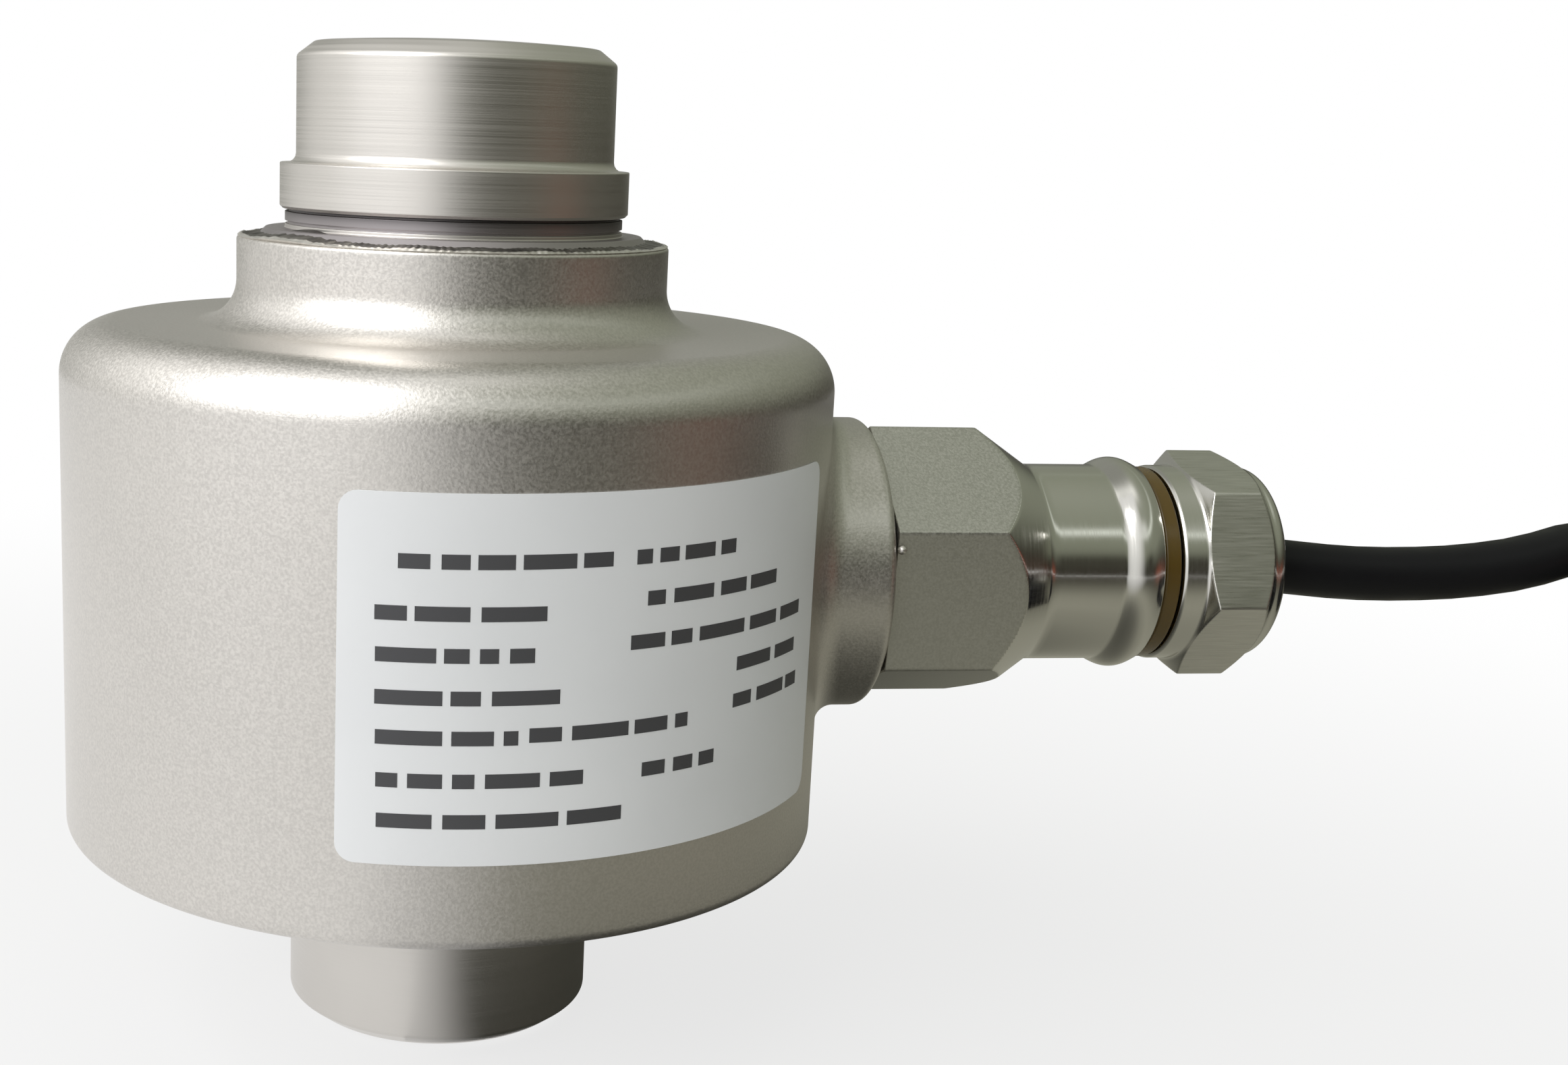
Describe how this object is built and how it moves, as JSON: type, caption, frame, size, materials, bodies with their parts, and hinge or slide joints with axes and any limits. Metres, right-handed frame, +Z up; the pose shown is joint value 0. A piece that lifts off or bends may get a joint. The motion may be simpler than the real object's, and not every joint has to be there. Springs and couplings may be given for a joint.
{
  "type": "strain gauge load cell",
  "caption": "Canister compression load cell: a steel column with crowned load buttons in a welded round housing, with a side cable gland and a coiled cable.",
  "frame": {"origin": "centre of the bottom load face", "axes": "+Z up the load axis to the top load face, +X out along the cable gland, +Y to the back of the side that carries the label panel"},
  "size_m": [0.3198, 0.1087, 0.1046],
  "materials": {
    "steel_turned": "fine turned, satin",
    "steel_blasted": "bead blasted, satin",
    "steel_weld": "rippled weld bead",
    "steel_polished": "fine machined, half gloss",
    "label_silver": "silver film, matt",
    "rubber_black": "matt",
    "seal_amber": "translucent amber seal, half gloss",
    "jacket_black": "satin jacket",
    "board_green": "circuit board",
    "resistor_body": "lacquered",
    "gauge_foil": "foil on film",
    "tie_black": "matt",
    "core_red": "wire insulation",
    "core_black": "wire insulation",
    "core_green": "wire insulation",
    "core_white": "wire insulation"
  },
  "bodies": {
    "root": {"load_column": "steel_turned", "housing_shell": "steel_blasted", "base_plate": "steel_blasted", "side_boss": "steel_blasted", "gland_body": "steel_blasted", "neck_weld": "steel_weld", "base_outer_seam": "steel_weld", "base_inner_seam": "steel_weld", "boss_weld": "steel_weld", "label_film": "label_silver", "gland_washer": "rubber_black", "cable_grommet": "rubber_black", "seal_ring": "seal_amber", "gland_nut": "steel_polished", "clamp_ring": "steel_polished", "ring_board": "board_green", "trim_resistor_1": "resistor_body", "trim_resistor_2": "resistor_body", "strain_gauge_1": "gauge_foil", "strain_gauge_2": "gauge_foil", "strain_gauge_3": "gauge_foil", "strain_gauge_4": "gauge_foil", "bridge_wire_1": "core_red", "bridge_wire_2": "core_black", "bridge_wire_3": "core_green", "bridge_wire_4": "core_white", "cable_in_gland": "jacket_black", "cable": "jacket_black", "cable_coil": "jacket_black", "cable_end": "jacket_black", "coil_tie_1": "tie_black", "coil_tie_2": "tie_black", "coil_tie_3": "tie_black", "cable_lead_1": "core_red", "cable_lead_2": "core_black", "cable_lead_3": "core_green", "cable_lead_4": "core_white"}
  },
  "joints": []
}
